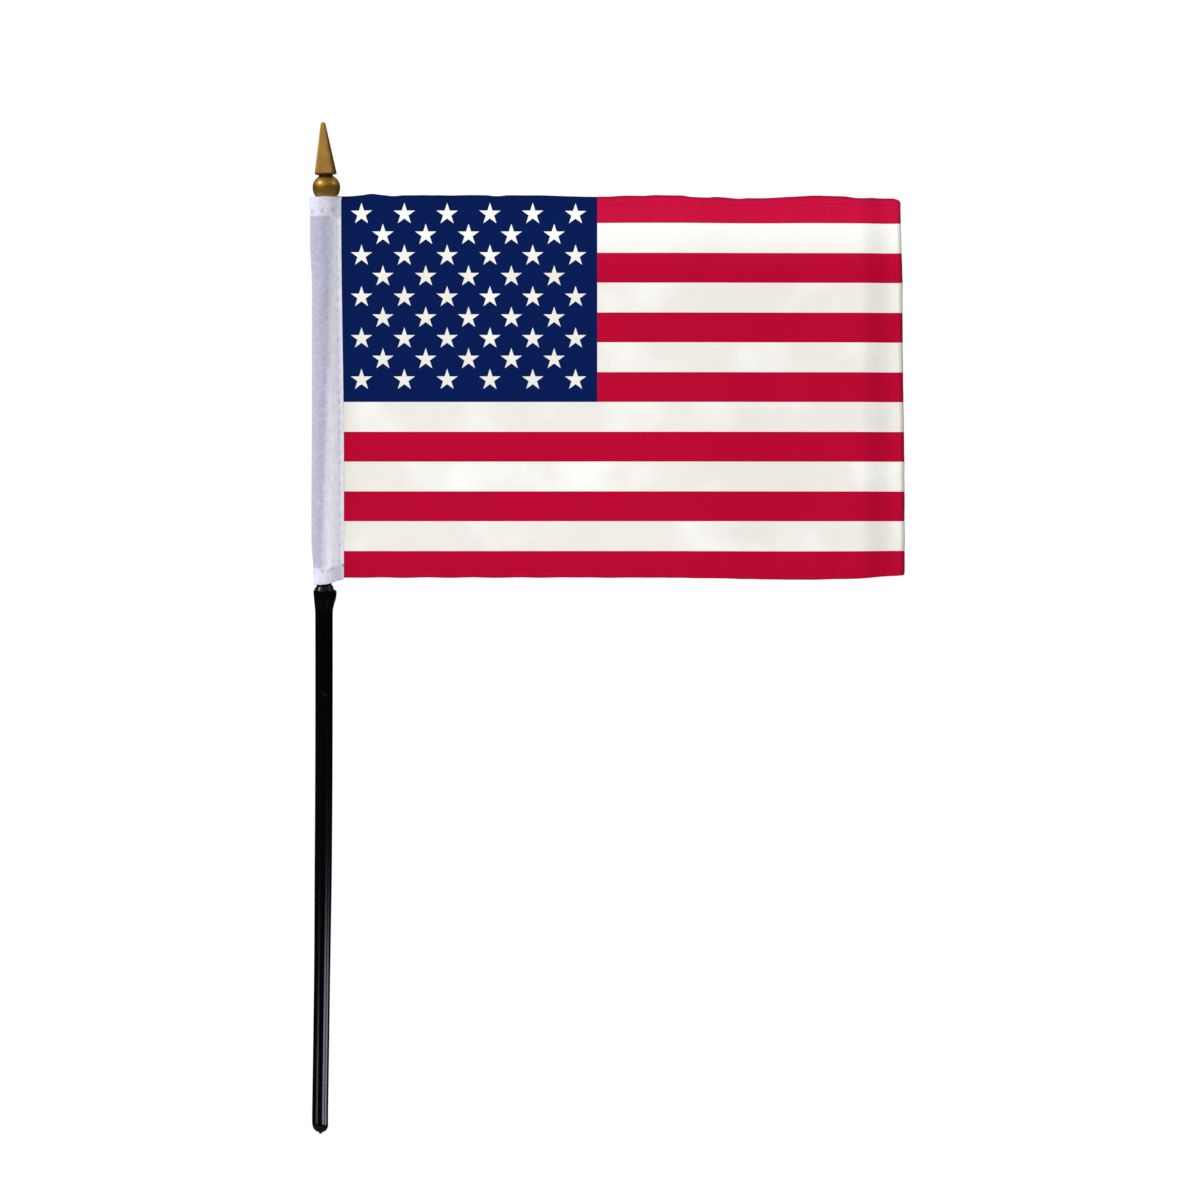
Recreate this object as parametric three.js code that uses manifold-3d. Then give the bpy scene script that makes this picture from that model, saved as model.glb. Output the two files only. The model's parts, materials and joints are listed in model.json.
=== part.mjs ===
// Hand flag on a moulded plastic staff. Millimetres, +Z up. The origin is the centre of the
// staff's foot, and the staff stands on Z. The flag flies towards +X with its front towards -Y.
//
// The sleeve is a loose tube of cloth round the upper staff, held between the stop collar below
// it and the ball of the finial above it. The finial is a cap that pulls off its spigot.

import * as THREE from 'three';
import { mergeVertices } from 'three/addons/utils/BufferGeometryUtils.js';
import Module from 'manifold-3d';

// Staff
const footDiameter = 4.2;
const staffDiameter = 4.6; // under the collar
const upperDiameter = 4.0; // inside the sleeve
const footRounding = 2.5; // height of the rounded end
const gateDiameter = 0.9; // stub of the moulding gate, the lowest point of the foot
const gateHeight = 0.4;
const collarTop = 144.2; // height of the collar's top above the foot
const collarDiameter = 5.5;
const collarChamfer = 1.1;
const collarLand = 0.6;
const collarTaper = 5.0; // length over which the collar fades into the staff
const flareHeight = 0.4; // share of that length, where the fade is at its hollowest
const flareHollow = 0.05; // how far it is hollow there
const earReach = 3.2; // how far the collar's ear stands out from the staff's axis
const earWidth = 1.5;
const earFace = 0.7; // height of its outer face
const earBevel = 0.3; // over that face
const earLift = 0.1; // how far its upper edge stands over the top of the collar's land
const earDepth = 0.6; // how deep it is rooted in the staff

// Finial, a cap with a four-sided spear on a ball
const ballDiameter = 7.3;
const ballRise = 3.3; // from the ball's widest point to its top
const ballDrop = 4.1; // the same downwards, if the ball weren't cut off flat at its seat
const ballAboveSeat = 3.4; // from the seat to the ball's widest point
const neckDiameter = 3.75;
const spearRise = 3.2; // from the ball's widest point to the spear's base
const spearHeight = 13.9;
const spearWidth = 5.1; // across the flats at its base
const spearTipWidth = 1.05;
const spearTipFlat = 0.2; // share of that width left flat at the very tip
const spearEdgeRadius = 0.45;
const spearUndercut = 0.45; // height of the chamfer under the spear's base
const spearTurn = 10; // degrees about its own axis, so that one more side shows
const spearLean = 3.4; // degrees towards -X, as it was moulded
const spigotDiameter = 3.0;
const spigotLength = 4.7;
const spigotChamfer = 0.2;
const socketClearance = 0.05; // radial, between the spigot and the finial's socket
const socketSpare = 0.5; // depth of the socket past the spigot's end
const seatGap = 0.1; // between the staff's shoulder and the finial

// Sleeve and flag
const sleeveHeight = 101.15;
const sleeveWall = 0.25;
const sleeveGap = 0.2; // least free space round the staff
const sleeveSlack = 0.7; // more of it on the side away from the flag
const collarGap = 0.4; // between the collar and the sleeve's lower edge
const mouthGap = 0.45; // between the sleeve's upper edge and the finial
const seamReach = 1.05; // from the pocket's round part to where the sleeve's two layers meet
const seamWidth = 0.88; // width of the two layers sewn together
const flagLength = 147.7;
const flagHeight = 100.6;
const flagRise = 1.675; // how much higher the flag's middle is than the sleeve's
const flagCloth = 0.3;
const flagGap = 0.6; // between the sleeve's edge and the flag, for the hems to turn in
const flagTilt = 0.4; // degrees by which the cloth hangs out of square with the staff
const cornerRadius = 1.6; // at the fly end
const hemWidth = 2.6; // along the top and the bottom
const flyHemWidth = 2.4;
const hemThickness = 0.5; // the cloth folded over twice

// Sewing thread
const threadThickness = 0.15;
const threadWidth = 0.25;
const threadInset = 0.5; // from a hem's folded edge to its row of stitches
const sleeveHemInset = 3.9; // from the sleeve's ends to their rows of stitches
const seamRow = 0.25; // from where the two layers meet to the row that sews the flag in
const threadGap = 0.05; // between a thread and the curved cloth that it runs round
const seamThreadEnd = 0.5; // from the seam row's ends to the sleeve's edges
const hemThreadEnd = 1.0; // from the top and bottom rows' ends to the flag's edges
const flyThreadEnd = 0.25; // from the fly row's ends to the top and bottom hems

const roundSegments = 40;
const arcSteps = 8;
const tipSteps = 5;
const spearEdgeSegments = 4;
const mergeDistance = 1e-5;

const sleeveBottom = collarTop + collarGap;
const seatHeight = sleeveBottom + sleeveHeight + mouthGap;
const clothMiddle = sleeveBottom + sleeveHeight / 2;

// The sleeve's pocket clears the staff at both ends, where the cloth's tilt brings it closest.
const tilt = THREE.MathUtils.degToRad(flagTilt);
const pocketRadius = upperDiameter / 2 + sleeveGap + (sleeveHeight / 2) * Math.sin(tilt);
const seamStart = pocketRadius + seamReach;
const sleeveEdge = seamStart + seamWidth;

const wasm = await Module();
wasm.setup();

// Booleans

function solidOf(geometry) {
  const bare = geometry.clone();
  bare.deleteAttribute('normal');
  bare.deleteAttribute('uv');
  const merged = mergeVertices(bare, mergeDistance);
  return new wasm.Manifold(new wasm.Mesh({
    numProp: 3,
    vertProperties: Float32Array.from(merged.attributes.position.array),
    triVerts: Uint32Array.from(merged.index.array),
  }));
}

function geometryOf(solid) {
  const mesh = solid.getMesh();
  const geometry = new THREE.BufferGeometry();
  geometry.setAttribute('position', new THREE.BufferAttribute(mesh.vertProperties, 3));
  geometry.setIndex(new THREE.BufferAttribute(mesh.triVerts, 1));
  geometry.computeVertexNormals();
  return geometry;
}

function joined(geometries) {
  return geometryOf(geometries.map(solidOf).reduce((whole, piece) => whole.add(piece)));
}

// Shared shapes

function turned(points) {
  const geometry = new THREE.LatheGeometry(points, roundSegments);
  return geometry.rotateX(Math.PI / 2);
}

// Points of an ellipse's arc, as radius and height, between two angles in degrees from its widest.
function arc(halfWidth, halfHeight, height, from, to) {
  const points = [];
  for (let i = 0; i <= arcSteps; i += 1) {
    const angle = THREE.MathUtils.degToRad(from + ((to - from) * i) / arcSteps);
    points.push(new THREE.Vector2(halfWidth * Math.cos(angle), height + halfHeight * Math.sin(angle)));
  }
  return points;
}

function bar(length, thickness, height, x, y, z) {
  return new THREE.BoxGeometry(length, thickness, height).translate(x, y, z);
}

// Staff

function staffProfile() {
  const foot = footDiameter / 2;
  const gate = gateDiameter / 2;
  const upper = upperDiameter / 2;
  const shaft = staffDiameter / 2;
  const collar = collarDiameter / 2;
  const spigot = spigotDiameter / 2;
  const landTop = collarTop - collarChamfer;
  const landBottom = landTop - collarLand;
  const shoulder = seatHeight - seatGap;
  const domeStart = -THREE.MathUtils.radToDeg(Math.acos(gate / foot));
  return [
    new THREE.Vector2(0, 0),
    new THREE.Vector2(gate, 0),
    ...arc(foot, footRounding, gateHeight + footRounding, domeStart, 0),
    new THREE.Vector2(shaft, landBottom - collarTaper),
    new THREE.Vector2((shaft + collar) / 2 - flareHollow, landBottom - collarTaper * flareHeight),
    new THREE.Vector2(collar, landBottom),
    new THREE.Vector2(collar, landTop),
    new THREE.Vector2(upper, collarTop),
    new THREE.Vector2(upper, shoulder),
    new THREE.Vector2(spigot, shoulder),
    new THREE.Vector2(spigot, shoulder + spigotLength - spigotChamfer),
    new THREE.Vector2(spigot - spigotChamfer, shoulder + spigotLength),
    new THREE.Vector2(0, shoulder + spigotLength),
  ];
}

// A small ear that the mould leaves on the collar, on the side of the flag.
function collarEar() {
  const root = upperDiameter / 2 - earDepth;
  const landTop = collarTop - collarChamfer;
  const top = landTop + earLift;
  const outline = new THREE.Shape([
    new THREE.Vector2(root, landTop - collarTaper),
    new THREE.Vector2(staffDiameter / 2, landTop - collarTaper),
    new THREE.Vector2(earReach, top - earBevel - earFace),
    new THREE.Vector2(earReach, top - earBevel),
    new THREE.Vector2(earReach - earBevel, top),
    new THREE.Vector2(root, landTop - earLift),
  ]);
  const ear = new THREE.ExtrudeGeometry(outline, { depth: earWidth, bevelEnabled: false });
  return ear.rotateX(Math.PI / 2).translate(0, earWidth / 2, 0);
}

function staffGeometry() {
  return joined([turned(staffProfile()), collarEar()]);
}

// Finial. Its ball is round about the staff's axis, and its neck and spear lean from the
// ball's middle.

function ballGeometry() {
  const socket = spigotDiameter / 2 + socketClearance;
  const socketTop = seatHeight + spigotLength + socketSpare;
  const middle = seatHeight + ballAboveSeat;
  const cut = -THREE.MathUtils.radToDeg(Math.asin(ballAboveSeat / ballDrop));
  const lower = arc(ballDiameter / 2, ballDrop, middle, cut, 0);
  const upper = arc(ballDiameter / 2, ballRise, middle, 0, 90).slice(1, -1);
  return turned([
    new THREE.Vector2(0, socketTop),
    new THREE.Vector2(socket, socketTop),
    new THREE.Vector2(socket, seatHeight),
    ...lower,
    ...upper,
    new THREE.Vector2(0, middle + ballRise),
  ]);
}

function roundedSquare(width, radius) {
  const half = width / 2;
  const shape = new THREE.Shape();
  shape.absarc(half - radius, half - radius, radius, 0, Math.PI / 2);
  shape.absarc(radius - half, half - radius, radius, Math.PI / 2, Math.PI);
  shape.absarc(radius - half, radius - half, radius, Math.PI, 1.5 * Math.PI);
  shape.absarc(half - radius, radius - half, radius, 1.5 * Math.PI, 2 * Math.PI);
  return shape;
}

// The spear's width at a height above its base, as a share of its width at the base.
function spearShare(height) {
  if (height < spearUndercut) {
    return THREE.MathUtils.lerp(neckDiameter / spearWidth, 1, height / spearUndercut);
  }
  const taper = 1 - (1 - spearTipWidth / spearWidth) * ((height - spearUndercut)
    / (spearHeight - spearUndercut));
  const toTip = (spearHeight - height) / (spearTipWidth / 2);
  return toTip < 1 ? taper * Math.max(Math.sqrt(toTip * (2 - toTip)), spearTipFlat) : taper;
}

function spearGeometry() {
  const levels = [0, spearUndercut, spearHeight / 2];
  for (let i = tipSteps; i >= 0; i -= 1) {
    levels.push(spearHeight - (spearTipWidth / 2) * (i / tipSteps));
  }
  const outline = roundedSquare(spearWidth, spearEdgeRadius);
  const geometry = new THREE.ExtrudeGeometry(outline, {
    depth: levels.length - 1,
    steps: levels.length - 1,
    bevelEnabled: false,
    curveSegments: spearEdgeSegments,
  });
  const position = geometry.attributes.position;
  for (let i = 0; i < position.count; i += 1) {
    const level = levels[Math.round(position.getZ(i))];
    const share = spearShare(level);
    position.setXYZ(i, position.getX(i) * share, position.getY(i) * share, level);
  }
  return geometry.rotateZ(THREE.MathUtils.degToRad(-spearTurn));
}

function finialGeometry() {
  const sunk = 0.4; // how far the neck's two ends are sunk into the ball and the spear
  const radius = neckDiameter / 2;
  const neckHeight = spearRise / 2 + sunk;
  const neck = new THREE.CylinderGeometry(radius, radius, neckHeight, roundSegments);
  neck.rotateX(Math.PI / 2).translate(0, 0, spearRise + sunk - neckHeight / 2);
  const spear = spearGeometry().translate(0, 0, spearRise);
  const leaning = [neck, spear].map((piece) => piece
    .rotateY(THREE.MathUtils.degToRad(-spearLean))
    .translate(0, 0, seatHeight + ballAboveSeat));
  return joined([ballGeometry(), ...leaning]);
}

// Cloth. All of it is laid out about the middle of the sleeve, with the staff's axis at x = 0.

// One side of the sleeve's pocket, grown or shrunk by an offset: from the seam round the staff
// and back to the seam. The cloth runs straight from the seam to a circle round the staff.
function pocketPath(offset, seamX, seamY) {
  const radius = pocketRadius + sleeveWall + offset;
  const left = radius + sleeveSlack;
  const touch = Math.atan2(seamY, seamX) + Math.acos(radius / Math.hypot(seamX, seamY));
  const points = [new THREE.Vector2(seamX, seamY)];
  for (let i = 0; i <= arcSteps / 2; i += 1) {
    const angle = THREE.MathUtils.lerp(touch, Math.PI / 2, (2 * i) / arcSteps);
    points.push(new THREE.Vector2(radius * Math.cos(angle), radius * Math.sin(angle)));
  }
  for (let i = 1; i <= arcSteps; i += 1) {
    const angle = Math.PI / 2 + (Math.PI / 2) * (i / arcSteps);
    points.push(new THREE.Vector2(left * Math.cos(angle), radius * Math.sin(angle)));
  }
  const mirrored = points.slice(0, -1).reverse().map((point) => new THREE.Vector2(point.x, -point.y));
  return [...points, ...mirrored];
}

// The pocket's inner side, closed at the seam. With an inset, it stays that much further off the
// seam's sharp corner.
function insidePath(inset) {
  const cornerInset = 1.6 * inset;
  return pocketPath(-sleeveWall - inset, seamStart - cornerInset, 0).slice(0, -1);
}

function upright(outline, height, middle) {
  const geometry = new THREE.ExtrudeGeometry(outline, { depth: height, bevelEnabled: false });
  return geometry.translate(0, 0, middle - height / 2);
}

function sleeveGeometry() {
  const outline = new THREE.Shape([
    ...pocketPath(0, seamStart, sleeveWall),
    new THREE.Vector2(sleeveEdge, -sleeveWall),
    new THREE.Vector2(sleeveEdge, sleeveWall),
  ]);
  outline.holes.push(new THREE.Path(insidePath(0)));
  return upright(outline, sleeveHeight, 0);
}

// A row of stitches round the sleeve: one thread outside it, open at the seam, and one inside.
function sleeveThread(outside, height) {
  const near = threadGap;
  const far = threadGap + threadThickness;
  if (outside) {
    const outer = pocketPath(far, seamStart, sleeveWall + far);
    const inner = pocketPath(near, seamStart, sleeveWall + near).reverse();
    return upright(new THREE.Shape([...outer, ...inner]), threadWidth, height);
  }
  const ring = new THREE.Shape(insidePath(near));
  ring.holes.push(new THREE.Path(insidePath(far)));
  return upright(ring, threadWidth, height);
}

const flagStart = sleeveEdge + flagGap;
const flagEnd = flagStart + flagLength;
const flagTop = flagHeight / 2 + flagRise;
const flagBottom = flagTop - flagHeight;

// The flag's outline, square at the sleeve and rounded at the fly end.
function flagOutline() {
  const shape = new THREE.Shape();
  shape.moveTo(flagStart, flagBottom);
  shape.lineTo(flagEnd - cornerRadius, flagBottom);
  shape.absarc(flagEnd - cornerRadius, flagBottom + cornerRadius, cornerRadius, -Math.PI / 2, 0);
  shape.absarc(flagEnd - cornerRadius, flagTop - cornerRadius, cornerRadius, 0, Math.PI / 2);
  shape.lineTo(flagStart, flagTop);
  return shape;
}

function flagPlate(thickness) {
  const plate = new THREE.ExtrudeGeometry(flagOutline(), {
    depth: thickness,
    bevelEnabled: false,
    curveSegments: arcSteps,
  });
  return plate.rotateX(Math.PI / 2).translate(0, thickness / 2, 0);
}

// The flag is thicker along its three hems, where the cloth is folded over twice.
function flagGeometry() {
  const length = flagLength - flyHemWidth;
  const height = flagHeight - 2 * hemWidth;
  const spare = 1;
  const field = bar(
    length + spare,
    2 * hemThickness,
    height,
    flagStart + (length - spare) / 2,
    0,
    (flagTop + flagBottom) / 2,
  );
  const hems = solidOf(flagPlate(hemThickness)).subtract(solidOf(field));
  return geometryOf(solidOf(flagPlate(flagCloth)).add(hems));
}

// Rows of lockstitch: the needle's thread on the front, the bobbin's on the back.
const rows = [
  {
    name: 'header_seam',
    cloth: sleeveWall,
    length: threadWidth,
    height: sleeveHeight - 2 * seamThreadEnd,
    x: seamStart + seamRow,
    z: 0,
  },
  {
    name: 'top_hem',
    cloth: hemThickness / 2,
    length: flagLength - 2 * hemThreadEnd,
    height: threadWidth,
    x: flagStart + flagLength / 2,
    z: flagTop - hemWidth + threadInset,
  },
  {
    name: 'bottom_hem',
    cloth: hemThickness / 2,
    length: flagLength - 2 * hemThreadEnd,
    height: threadWidth,
    x: flagStart + flagLength / 2,
    z: flagBottom + hemWidth - threadInset,
  },
  {
    name: 'fly_hem',
    cloth: hemThickness / 2,
    length: threadWidth,
    height: flagHeight - 2 * hemWidth - 2 * flyThreadEnd,
    x: flagEnd - flyHemWidth + threadInset,
    z: (flagTop + flagBottom) / 2,
  },
];

function rowThread(row, side) {
  const y = side * (row.cloth + threadThickness / 2);
  return bar(row.length, threadThickness, row.height, row.x, y, row.z);
}

// Assembly

function finish(color, roughness, metalness) {
  return new THREE.MeshStandardMaterial({ color, roughness, metalness });
}

function piece(name, geometry, material) {
  const mesh = new THREE.Mesh(geometry, material);
  mesh.name = name;
  return mesh;
}

const blackPlastic = finish(0x08080a, 0.3, 0);
const goldPlastic = finish(0x96773a, 0.35, 0.8);
const whiteCloth = finish(0xd2d0e2, 0.85, 0);
const flagPrint = finish(0xba0c2f, 0.6, 0);
const thread = finish(0xf0eff2, 0.7, 0);

const group = new THREE.Group();
group.add(piece('staff', staffGeometry(), blackPlastic));
group.add(piece('finial', finialGeometry(), goldPlastic));

const cloth = new THREE.Group();
cloth.position.set(0, 0, clothMiddle);
cloth.rotation.y = -tilt;
cloth.add(piece('sleeve', sleeveGeometry(), whiteCloth));
cloth.add(piece('flag', flagGeometry(), flagPrint));
for (const row of rows) {
  cloth.add(piece(`${row.name}_needle_thread`, rowThread(row, -1), thread));
  cloth.add(piece(`${row.name}_bobbin_thread`, rowThread(row, 1), thread));
}
for (const end of ['top', 'bottom']) {
  const height = (end === 'top' ? 1 : -1) * (sleeveHeight / 2 - sleeveHemInset);
  cloth.add(piece(`sleeve_${end}_needle_thread`, sleeveThread(true, height), thread));
  cloth.add(piece(`sleeve_${end}_bobbin_thread`, sleeveThread(false, height), thread));
}
group.add(cloth);

export default group;
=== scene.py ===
"""A small printed flag sewn to a white sleeve, on a moulded black staff with a gold spear.

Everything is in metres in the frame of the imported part: +Z up the staff, +X to the fly end and
-Y out of the flag's front. The cloth hangs a little out of square with the staff, so its pieces
are laid out square, in millimetres, and turned into place at the end.
"""

import json
import math

import bmesh
import bpy
import numpy as np
from mathutils import Matrix, Vector, noise


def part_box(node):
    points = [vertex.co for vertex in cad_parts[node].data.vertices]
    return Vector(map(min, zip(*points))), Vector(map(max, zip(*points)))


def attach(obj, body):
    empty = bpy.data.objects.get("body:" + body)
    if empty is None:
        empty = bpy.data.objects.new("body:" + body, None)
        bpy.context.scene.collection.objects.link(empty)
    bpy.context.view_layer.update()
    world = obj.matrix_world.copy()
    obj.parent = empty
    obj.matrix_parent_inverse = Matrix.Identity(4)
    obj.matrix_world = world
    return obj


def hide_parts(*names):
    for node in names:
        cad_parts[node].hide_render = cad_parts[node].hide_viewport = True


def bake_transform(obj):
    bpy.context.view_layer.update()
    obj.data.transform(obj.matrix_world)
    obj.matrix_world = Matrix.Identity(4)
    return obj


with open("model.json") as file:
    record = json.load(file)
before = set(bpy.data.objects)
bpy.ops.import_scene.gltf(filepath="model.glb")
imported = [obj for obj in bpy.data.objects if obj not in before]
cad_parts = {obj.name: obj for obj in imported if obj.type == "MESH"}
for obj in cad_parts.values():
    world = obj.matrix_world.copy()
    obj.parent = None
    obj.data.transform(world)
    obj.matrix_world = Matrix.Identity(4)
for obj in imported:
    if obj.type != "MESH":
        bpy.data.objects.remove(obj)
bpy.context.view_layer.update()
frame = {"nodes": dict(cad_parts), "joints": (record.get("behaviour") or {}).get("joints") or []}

MM = 0.001
joints = {joint["name"]: joint for joint in frame["joints"]}

# The cloth's own square frame: its upright axis is the axis that the flag folds about.
cloth_turn = Vector((0, 0, 1)).rotation_difference(Vector(joints["flag_fold"]["axis"]))
cloth_middle = Vector(joints["flag_swivel"]["pos_m"])
cloth_place = (
    Matrix.Translation(cloth_middle) @ cloth_turn.to_matrix().to_4x4() @ Matrix.Translation(-cloth_middle)
)


def square_box(node):
    """Lowest and highest corner of a cloth node in the cloth's square frame, in millimetres."""
    back = cloth_place.inverted()
    points = np.array([back @ v.co for v in frame["nodes"][node].data.vertices]) / MM
    return Vector(points.min(0)), Vector(points.max(0))


def cad_box_mm(node):
    """Lowest and highest corner of a node in the part's frame, in millimetres."""
    low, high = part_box(node)
    return low / MM, high / MM


_, staff_high = cad_box_mm("staff")
finial_low, finial_high = cad_box_mm("finial")
sleeve_low, _ = square_box("sleeve")
flag_low, flag_high = square_box("flag")


def smooth(value, low, high):
    """0 up to low, 1 from high on, and an even S between them."""
    share = min(1.0, max(0.0, (value - low) / (high - low)))
    return share * share * (3 - 2 * share)


def ripple(x, z, size, seed):
    """Even random swell between about -1 and 1, with hollows and humps about size apart."""
    return noise.noise(Vector((x / size, z / size, seed)))


# Materials


def colour(code):
    """Linear colour of an sRGB hex value."""
    parts = [int(code[i : i + 2], 16) / 255 for i in (1, 3, 5)]
    linear = [c / 12.92 if c <= 0.04045 else ((c + 0.055) / 1.055) ** 2.4 for c in parts]
    return (*linear, 1.0)


def add(tree, kind, inputs=None, **settings):
    """Adds a shader node with its settings and links, and returns its outputs. An input is a
    value or another node's output. A Mix of colours has its share on socket 0, its two colours
    on 6 and 7, and its result on 2."""
    made = tree.nodes.new("ShaderNode" + kind)
    for name, value in settings.items():
        setattr(made, name, value)
    for socket, value in (inputs or {}).items():
        if isinstance(value, bpy.types.NodeSocket):
            tree.links.new(value, made.inputs[socket])
        else:
            made.inputs[socket].default_value = value
    return made.outputs


def new_material(name, **sockets):
    """A material with a Principled shader whose plain sockets are set. Returns it, its tree and shader."""
    material = bpy.data.materials.new(name)
    material.use_nodes = True
    tree = material.node_tree
    shader = tree.nodes["Principled BSDF"]
    for socket, value in sockets.items():
        shader.inputs[socket.replace("_", " ")].default_value = value
    return material, tree, shader


def moulded_black():
    """Polystyrene, injection moulded and dyed black. Smooth and glossy, with long flow marks
    that waver the highlights and dull them here and there."""
    material, tree, shader = new_material(
        "injection-moulded black styrene", Base_Color=colour("#030304"), Specular_IOR_Level=0.3, IOR=1.55
    )
    flow_width = 3.125 * MM
    place = add(tree, "TexCoord")["Object"]
    drawn_out = add(tree, "Mapping", {"Vector": place, "Scale": (1.0, 1.0, 0.1)})[0]
    flow = add(tree, "TexNoise", {"Vector": drawn_out, "Scale": 1 / flow_width, "Detail": 1.0})[0]
    rough = add(tree, "MapRange", {"Value": flow, "To Min": 0.12, "To Max": 0.19})[0]
    bump = add(tree, "Bump", {"Height": flow, "Strength": 0.03, "Distance": 0.03 * MM})[0]
    tree.links.new(rough, shader.inputs["Roughness"])
    tree.links.new(bump, shader.inputs["Normal"])
    return material


def metallised_gold(neck_height):
    """Plastic with a vacuum-metallised gold film under amber lacquer. The film is painted dark brown round
    the neck and under the spear, as painted shade in the crease there, and the lacquer mottles the flats."""
    material, tree, shader = new_material(
        "vacuum-metallised gold plastic", Metallic=1.0, Coat_Weight=1.0, Coat_Roughness=0.12, Coat_IOR=1.55
    )
    mottles, grains = 0.42 / MM, 3.8 / MM  # to a millimetre
    place = add(tree, "TexCoord")["Object"]
    mottle = add(tree, "TexNoise", {"Vector": place, "Scale": mottles, "Detail": 4.0})[0]
    grain = add(tree, "TexNoise", {"Vector": place, "Scale": grains, "Detail": 2.0})[0]
    shade = add(tree, "MapRange", {"Value": mottle, "From Min": 0.35, "From Max": 0.7})[0]
    film = add(tree, "Mix", {0: shade, 6: colour("#D9A637"), 7: colour("#C6912D")}, data_type="RGBA")[2]
    height = add(tree, "SeparateXYZ", {0: place})["Z"]
    # Painted shade: the film turns dark brown within 0.75 mm of the crease at the top of the ball, under
    # the neck.
    above = add(tree, "Math", {0: height, 1: neck_height}, operation="SUBTRACT")[0]
    away = add(tree, "Math", {0: above}, operation="ABSOLUTE")[0]
    neck_shade_range = {"Value": away, "From Min": 0.1 * MM, "From Max": 0.75 * MM, "To Min": 0.9, "To Max": 0.0}
    painted_neck_shade = add(tree, "MapRange", neck_shade_range)[0]
    film_with_neck_shade = add(tree, "Mix", {0: painted_neck_shade, 6: film, 7: colour("#3A2206")}, data_type="RGBA")[2]
    rough = add(tree, "MapRange", {"Value": mottle, "To Min": 0.44, "To Max": 0.58})[0]
    relief = add(tree, "Math", {0: grain, 1: 0.3, 2: mottle}, operation="MULTIPLY_ADD")[0]
    bump = add(tree, "Bump", {"Height": relief, "Strength": 0.2, "Distance": 0.05 * MM})[0]
    tree.links.new(film_with_neck_shade, shader.inputs["Base Color"])
    tree.links.new(rough, shader.inputs["Roughness"])
    tree.links.new(bump, shader.inputs["Normal"])
    return material


def weave_height(tree, place, spacing):
    """A plain weave on a map laid out in millimetres: warp and weft that take turns on top."""
    turned = add(tree, "VectorMath", {0: place, 1: (math.pi / spacing,) * 3}, operation="MULTIPLY")[0]
    parts = add(tree, "SeparateXYZ", {0: turned})
    warp = add(tree, "Math", {0: parts["X"]}, operation="SINE")[0]
    weft = add(tree, "Math", {0: parts["Y"]}, operation="SINE")[0]
    return add(tree, "Math", {0: warp, 1: weft}, operation="MULTIPLY")[0]


def sleeve_cloth():
    """Plain-woven white polyester tape. It is greyed to the left of an edge on the pocket, partly where the
    black staff shows through the thin cloth and partly as painted shade on that side, and it is painted
    darker, as painted shade, in the puckers that the stitches pull."""
    material, tree, shader = new_material(
        "woven polyester header tape", Roughness=0.85, Specular_IOR_Level=0.2, IOR=1.5
    )
    place = add(tree, "UVMap", uv_map="cloth")[0]
    near = add(tree, "Attribute", attribute_name="staff_showing_and_painted_shade")["Fac"]
    painted_pucker_shade = add(tree, "Attribute", attribute_name="painted_pucker_shade")["Fac"]
    drawn_out = add(tree, "Mapping", {"Vector": place, "Scale": (1.0, 0.3, 1.0)})[0]
    streaks = add(tree, "TexNoise", {"Vector": drawn_out, "Scale": 1.3, "Detail": 5.0})[0]
    streak = add(tree, "MapRange", {"Value": streaks, "From Min": 0.35, "From Max": 0.65})[0]
    cloth = add(tree, "Mix", {0: streak, 6: colour("#E2E1F0"), 7: colour("#F2F0FC")}, data_type="RGBA")[2]
    specks = add(tree, "TexNoise", {"Vector": place, "Scale": 0.9, "Detail": 6.0, "Roughness": 0.75})[0]
    uneven = {"Value": specks, "From Min": 0.35, "From Max": 0.65, "To Min": -0.3, "To Max": 0.3}
    speck = add(tree, "MapRange", uneven)[0]
    # Grey where the staff lies behind: partly the black staff showing through, partly painted shade on the
    # pocket's left side.
    staff_grey_and_shade = add(tree, "Math", {0: near, 1: speck, 2: near}, operation="MULTIPLY_ADD")[0]
    greyed = add(tree, "Mix", {0: staff_grey_and_shade, 6: cloth, 7: colour("#ABABC0")}, data_type="RGBA")[2]
    # Painted shade: the cloth is painted darker in the dimples that the stitches pull in.
    shaded = add(tree, "Mix", {0: painted_pucker_shade, 6: greyed, 7: colour("#68677E")}, data_type="RGBA")[2]
    # The tape's threads lie about 0.2 mm apart. They are drawn at 0.4 mm so that they show.
    height = weave_height(tree, place, 0.4)
    bump = add(tree, "Bump", {"Height": height, "Strength": 0.35, "Distance": 0.04 * MM})[0]
    tree.links.new(shaded, shader.inputs["Base Color"])
    tree.links.new(bump, shader.inputs["Normal"])
    return material


# The print, laid out on the flag in millimetres from the sleeve's edge and from the flag's top.
stripe = 102.2 / 13
top_stripe = 7.07  # what the top hem leaves showing of the first stripe
canton_length = 66.9
canton_height = 6 * stripe + top_stripe
star_radius = 2.94
star_column = 5.644  # between one column of stars and the next, which is set off by a row
star_row = 5.457
star_slant = math.radians(72)  # from a point of the star to the square on its edge
first_star = (4.74, 4.76)  # from the sleeve's edge and from the flag's top


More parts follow.
